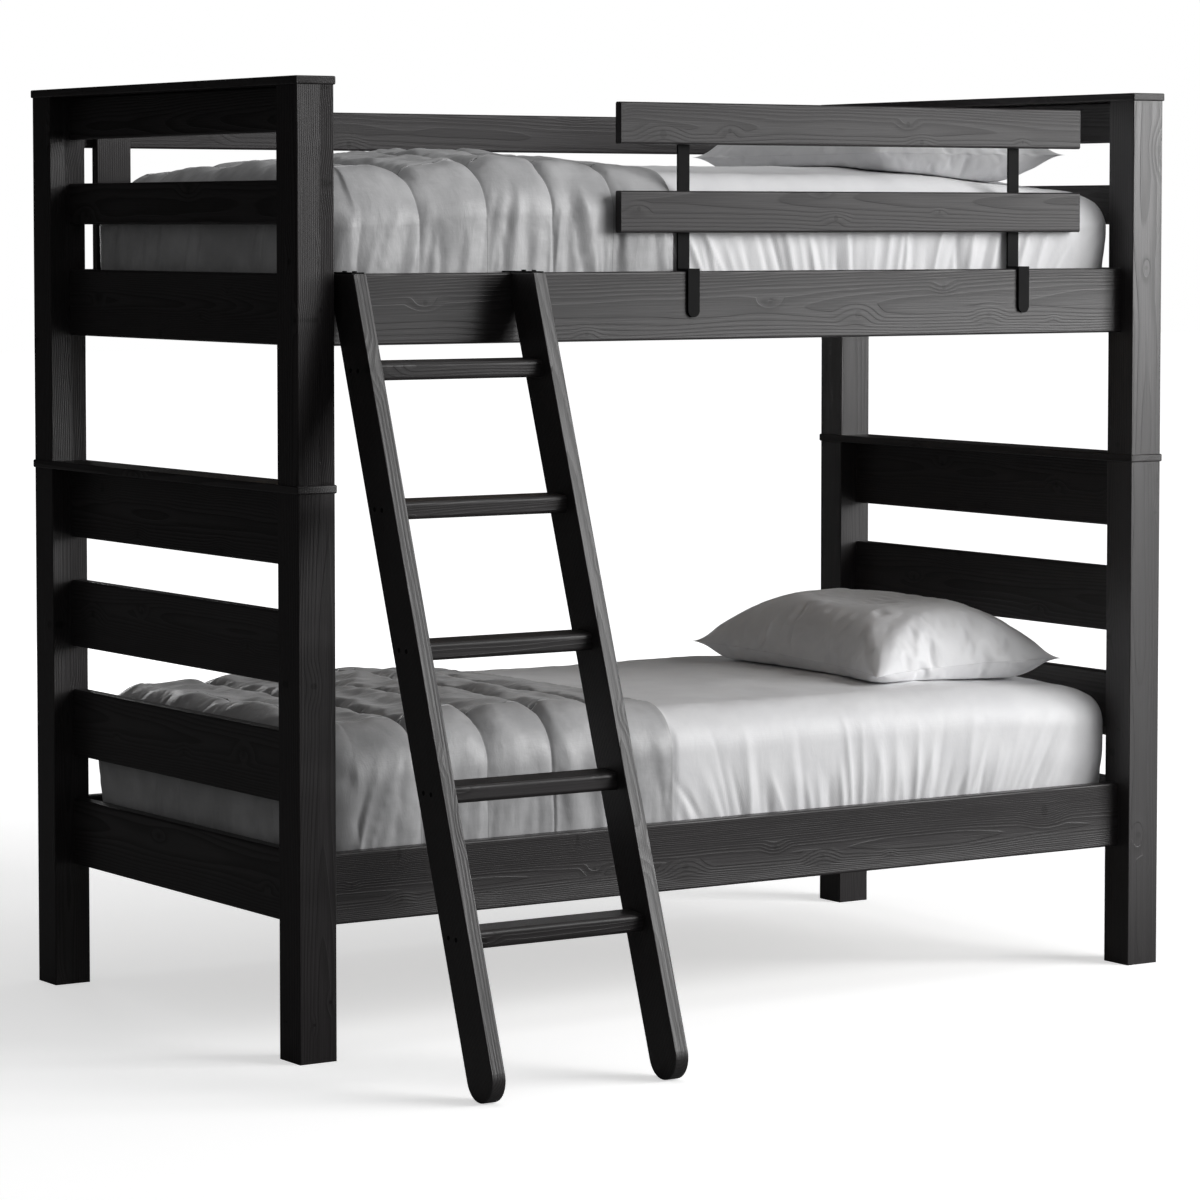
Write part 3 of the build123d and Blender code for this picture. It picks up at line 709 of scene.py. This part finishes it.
def comforter_layers(name, level, rail_top, side_room, seed):
    """Outer layer of a quilt, blown up between its seams, and its lining on the mattress.

    The filling's thickness between two seams is an arch of the share of the way across. Loose
    folds hang down the sides, and the whole grid sways a little, so that no seam is straight.
    side_room is the room beside the mattress at the rail, the room above, and where that starts.
    """
    low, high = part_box(f"{level}_mattress")
    quilt_low, quilt_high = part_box(f"{level}_comforter")
    inner, faces = quilt_sheet(low, high, quilt_low.z, quilt_high.x, lining_gap)
    outer = quilt_sheet(low, high, quilt_low.z, quilt_high.x, cover_gap)[0]
    first, quads, triangles = sewn(outer, faces)
    inner, outer = inner[first], outer[first]
    crown = ease((inner[:, 2] - low.z - 0.1) / 0.1) * crown_of(inner, low, high, level)
    inner[:, 2] += crown
    outer[:, 2] += crown
    stops = np.array([quilt_low.x - 0.09, *quilt_seams, quilt_high.x])
    channel = np.clip(np.searchsorted(stops, outer[:, 0] + 1e-6) - 1, 0, len(stops) - 2)
    start, end = stops[channel], stops[channel + 1]
    share = np.clip((outer[:, 0] - start) / (end - start), 0, 1)
    rise = outer[:, 2] - rail_top
    below = high.z - outer[:, 2]
    on_foot = outer[:, 0] < low.x + quilt_round - 0.001
    side_arch = 1 - np.abs(2 * share - 1) ** 5
    foot_arch = 1 - np.abs(2 * np.clip((below - quilt_round) / 0.14, 0, 1) - 1) ** 5
    foot_arch = np.where(below < quilt_round, ease((quilt_round - below) / 0.06), foot_arch)
    arch = np.where(on_foot, foot_arch, side_arch)
    core_low = [low.x + quilt_round, low.y + quilt_round, 0]
    core_high = [9, high.y - quilt_round, high.z - quilt_round]
    normal = outer - np.clip(outer, core_low, core_high)
    normal /= np.maximum(np.linalg.norm(normal, axis=1, keepdims=True), 1e-9)
    upward = np.clip(normal[:, 2], 0, 1) ** 2
    around = np.where(on_foot, outer[:, 1], outer[:, 0])
    around = around + 3.0 * (outer[:, 1] > (low.y + high.y) / 2)
    hang = gathers(
        around, rise, 6.0, seed, gap=0.026, width=(0.004, 0.011), height=(0.003, 0.0095),
        top=(0.10, 0.30), lean=lambda place: -0.30 * np.sin(place * 2.1 + 0.8),
    )
    lumps = soft_noise(outer * [1, 0.6, 1], 0.16, seed + 1)
    pucker = soft_noise(outer * [0.35, 1, 1], 0.045, seed + 3) * (1 - np.abs(2 * share - 1)) ** 0.3
    thick = arch * (side_fill + extra_on_top * upward) * (1 + 0.25 * lumps)
    thick = thick + 0.0016 * pucker * upward
    thick *= 0.30 + 0.70 * ease((quilt_high.x - outer[:, 0]) / 0.28)
    outer += normal * thick[:, None]
    sway = soft_noise(outer, 0.45, seed + 2)[:, None] * [0.0045, 0, 0]
    outer += sway * ease((quilt_high.x - outer[:, 0]) / 0.02)[:, None]
    seam = np.minimum(share, 1 - share) * (end - start) < 0.0005
    held = np.zeros(len(outer))
    held[seam & ~on_foot] = 1.0
    held[on_foot & (np.abs(below - quilt_round) < quilt_step * 0.6)] = 1.0
    held[rise < -0.018] = 1.0
    piece = new_piece(name, outer, quads, triangles)
    outer = blown(piece, held, pressure=0.9, slack=0.014, frames=12, reach=0.009)
    bpy.data.meshes.remove(piece.data)
    depth = ((outer - inner) * normal).sum(1)
    hem = hem_thick * ease(1 - (quilt_high.x - outer[:, 0]) / 0.022)
    depth, proud = np.maximum(depth, thinnest) + hem, depth
    room = side_room[0] + (side_room[1] - side_room[0]) * ease((rise - side_room[2]) / 0.16)
    upright = 1 - upward
    on_side = room * (0.30 + 0.42 * arch) * (0.55 + 0.45 * np.tanh(depth / room))
    loose = 0.8 + 0.6 * ease((outer[:, 0] - quilt_high.x + 0.34) / 0.15)
    on_side = np.clip(on_side + hang * loose * (0.2 + 0.8 * arch) * upright, thinnest, room)
    depth += upright ** 2 * (on_side + hem - depth)
    return outer + normal * (depth - proud)[:, None], inner, quads, triangles, seam & ~on_foot


def edge_strip(quads, triangles, count):
    """Quads that join the open edges of a layer to the same edges of a second layer's points."""
    loops = [np.stack([f, np.roll(f, -1, axis=1)], 2).reshape(-1, 2) for f in (quads, triangles)]
    edges = np.concatenate(loops)
    uses = np.unique(np.sort(edges, axis=1), axis=0, return_inverse=True, return_counts=True)
    rim = edges[uses[2][uses[1].reshape(-1)] == 1]
    return np.stack([rim[:, 1], rim[:, 0], rim[:, 0] + count, rim[:, 1] + count], 1)


comforter_cloth = sateen(
    "grey_quilt", quilt_grey, quilt_shade,
    threads=4200.0, rough=0.40, sheen=0.25, crease_depth=9.0,
)
for level, side_room, seed in (
    ("lower", (0.0100, 0.020, -0.02), 5),
    ("upper", (0.0100, 0.017, 0.04), 8),
):
    name = f"{level}_comforter_quilt"
    rail_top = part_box(f"{level}_front_side_rail")[1].z
    outer, inner, quads, triangles, seam = comforter_layers(name, level, rail_top, side_room, seed)
    outer[:, 0] = np.maximum(outer[:, 0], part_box(f"{level}_comforter")[0].x)
    count = len(outer)
    strip = edge_strip(quads, triangles, count)
    comforter = new_piece(
        name, np.concatenate([outer, inner]), quads, triangles,
        quads[:, ::-1] + count, triangles[:, ::-1] + count, strip,
    )
    # The stitch attribute marks the seams, where the material paints shade.
    stitch = comforter.data.attributes.new("stitch", "FLOAT", "POINT")
    stitch.data.foreach_set("value", np.concatenate([seam, np.zeros(count)]).astype(np.float32))
    smooth = comforter.modifiers.new("smooth", "SUBSURF")
    smooth.levels = smooth.render_levels = 1
    comforter.data.materials.append(comforter_cloth)
    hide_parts(f"{level}_comforter")
    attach(comforter, f"comforter_{level}")


# ---- Pillows ----
# A soft pillow in a white sateen case: two panels sewn together round the edge, plump in the
# middle, pinched at the corners, and pressed flat where it lies on the mattress.
half_wide, half_long = 0.275, 0.375
edge_up, under_deep = 0.050, 0.085


def pillow_skin(name, seed):
    """Two flat panels, joined at their edge and blown up, as points from -0.5 to 0.5 each way.

    The panels' edges bow in a little between the corners. Near the sewn edge and in the four
    corners the filling is pressed nearly flat, which leaves a narrow ridge and pinched ears.
    """
    u, v = np.meshgrid(np.linspace(-1, 1, 70), np.linspace(-1, 1, 94), indexing="ij")
    bow = 1 - 0.02 * (1 - v ** 2), 1 - 0.015 * (1 - u ** 2)
    flat = np.stack([half_wide * u * bow[0], half_long * v * bow[1]], 2)
    lift = 0.022 * (1 - u ** 4) * (1 - v ** 4)
    upper = np.concatenate([flat, lift[..., None]], 2).reshape(-1, 3)
    under = upper * [1, 1, -1]
    wave = soft_noise(upper, 0.12, seed)[:, None] * [0, 0, 0.004] * ease(lift.reshape(-1, 1) / 0.01)
    faces = grid_faces(*u.shape)
    points = np.concatenate([upper + wave, under + wave])
    first, quads, triangles = sewn(points, np.concatenate([faces, faces[:, ::-1] + len(upper)]))
    points = points[first]
    sheet = new_piece(name + "_flat", points, quads, triangles)
    points = blown(sheet, np.zeros(len(points)), pressure=5.0, slack=0.0, frames=24, reach=0.16)
    bpy.data.meshes.remove(sheet.data)
    in_u, in_v = (1 - np.abs(share).reshape(-1)[first % u.size] for share in (u, v))
    from_edge = np.minimum(34.5 * in_u, 46.5 * in_v)
    by_edge = (1 - ease(from_edge / 2.2)) ** 0.7
    from_corner = np.hypot(half_wide * in_u, half_long * in_v)
    points[:, 2] *= (1 - 0.72 * by_edge) * (0.55 + 0.45 * ease((from_corner - 0.010) / 0.075))
    size = points.max(0) - points.min(0)
    points = (points - (points.max(0) + points.min(0)) / 2) / size
    return points, quads, triangles, from_edge < 0.5


# tips are the heights of the four corners of the sewn edge over the mattress, walked round.
for level, tips, seed in (
    ("lower", (0.028, 0.041, 0.048, 0.050), 3),
    ("upper", (0.026, 0.025, 0.036, 0.024), 4),
):
    name = f"{level}_pillow_in_case"
    low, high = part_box(f"{level}_pillow")
    bed_low, bed_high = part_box(f"{level}_mattress")
    points, quads, triangles, edge = pillow_skin(name, seed)
    place = np.stack([
        (low.x + high.x) / 2 + points[:, 0] * (high.x - low.x),
        (low.y + high.y) / 2 + points[:, 1] * (high.y - low.y),
    ], 1)
    across, deep = points[:, 0] + 0.5, points[:, 1] + 0.5
    tip = (1 - across) * (1 - deep) * tips[0] + across * (1 - deep) * tips[1]
    tip += across * deep * tips[2] + (1 - across) * deep * tips[3]
    tall = high.z - bed_high.z
    puff = np.abs(2 * points[:, 2]) ** 1.4
    height = tip + np.where(points[:, 2] > 0, (tall - edge_up) * puff, -under_deep * puff)
    bed = crown_of(place, bed_low, bed_high, level) + lining_gap
    soft = 0.004
    height = bed + soft * np.logaddexp(0, (height - bed) / soft)
    pillow = new_piece(name, np.column_stack([place, bed_high.z + height]), quads, triangles)
    # The stitch attribute marks the sewn edge, where the material paints shade.
    stitch = pillow.data.attributes.new("stitch", "FLOAT", "POINT")
    stitch.data.foreach_set("value", 0.8 * edge.astype(np.float32))
    smooth = pillow.modifiers.new("smooth", "SUBSURF")
    smooth.levels = smooth.render_levels = 1
    pillow.data.materials.append(sheet_cloth)
    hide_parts(f"{level}_pillow")
    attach(pillow, f"pillow_{level}")


# ---- Floor and studio light ----
# A plain pale floor under one large soft light from the front right, with a narrower light beside
# it that rakes the folds, and weak fills from overhead and behind. To the camera the floor glows
# evenly pale; in reflections it glows only in a painted pool of light where the key would fall.
floor_mesh = bpy.data.meshes.new("floor")
floor_mesh.from_pydata([(-40, -40, 0), (40, -40, 0), (40, 40, 0), (-40, 40, 0)], [], [(0, 1, 2, 3)])
floor = bpy.data.objects.new("floor", floor_mesh)
bpy.context.scene.collection.objects.link(floor)
floor_material, floor_tree, floor_shader = bare_material("pale_floor")
ray_kind = add(floor_tree, "ShaderNodeLightPath").outputs
seen_by = ray_kind["Is Camera Ray"]
tone = blend(floor_tree, seen_by, (0.22, 0.22, 0.22, 1), (0.85, 0.85, 0.85, 1))
floor_tree.links.new(tone, floor_shader.inputs["Base Color"])
floor_shader.inputs["Roughness"].default_value = 1.0
floor_shader.inputs["Specular IOR Level"].default_value = 0.0
on_floor = add(floor_tree, "ShaderNodeTexCoord").outputs["Object"]
from_middle = vector_maths(floor_tree, "LENGTH", on_floor)
pale = maths(floor_tree, "MULTIPLY", seen_by, ramp(floor_tree, from_middle, 1.5, 7.0, 0.55, 1.0))
# Painted light: the floor glows in a pool round where the key light would fall, seen only in
# reflections.
from_key = vector_maths(floor_tree, "DISTANCE", on_floor, (3.4, -3.6, 0))
painted_key_pool = ramp(floor_tree, from_key, 4.2, 0.8, 0.0, 1.1)
painted_pool_in_reflections = maths(floor_tree, "MULTIPLY", ray_kind["Is Glossy Ray"], painted_key_pool)
backdrop_and_painted_pool = maths(floor_tree, "ADD", pale, painted_pool_in_reflections)
floor_tree.links.new(backdrop_and_painted_pool, floor_shader.inputs["Emission Strength"])
floor_shader.inputs["Emission Color"].default_value = (1, 1, 1, 1)
floor_mesh.materials.append(floor_material)


def softbox(name, place, target, size, power, roll=0.0):
    """A rectangular area light that faces a point, turned about its own axis by roll."""
    data = bpy.data.lights.new(name, "AREA")
    data.shape = "RECTANGLE"
    data.size, data.size_y = size
    data.energy = power
    light = bpy.data.objects.new(name, data)
    light.location = place
    facing = (Vector(target) - Vector(place)).to_track_quat("-Z", "Y")
    light.rotation_euler = (facing @ Quaternion((0, 0, 1), roll)).to_euler()
    bpy.context.scene.collection.objects.link(light)


softbox("key", (5.25, -6.05, 3.8), (0.2, 0, 1.2), (4.4, 5.6), 520, roll=0.30)
softbox("rake", (5.9, -3.9, 2.4), (0.1, -0.2, 1.0), (1.2, 2.2), 110)
softbox("overhead", (0.5, -0.5, 6.0), (0, 0, 0), (4.0, 4.0), 60)
softbox("back fill", (1.0, 7.4, 1.7), (0.3, 0, 1.0), (1.8, 2.0), 45)
world = bpy.data.worlds.new("studio")
bpy.context.scene.world = world
world.use_nodes = True
sky = world.node_tree
background = sky.nodes["Background"]
ray_kind = add(sky, "ShaderNodeLightPath").outputs
dim = ramp(sky, ray_kind["Is Glossy Ray"], 0.0, 1.0, 0.15, 0.008)
seen = add(sky, "ShaderNodeMix", {0: ray_kind["Is Camera Ray"], 2: dim, 3: 1.0})
sky.links.new(seen.outputs[0], background.inputs["Strength"])
background.inputs["Color"].default_value = (1, 1, 1, 1)
bpy.context.scene.view_settings.view_transform = "Standard"
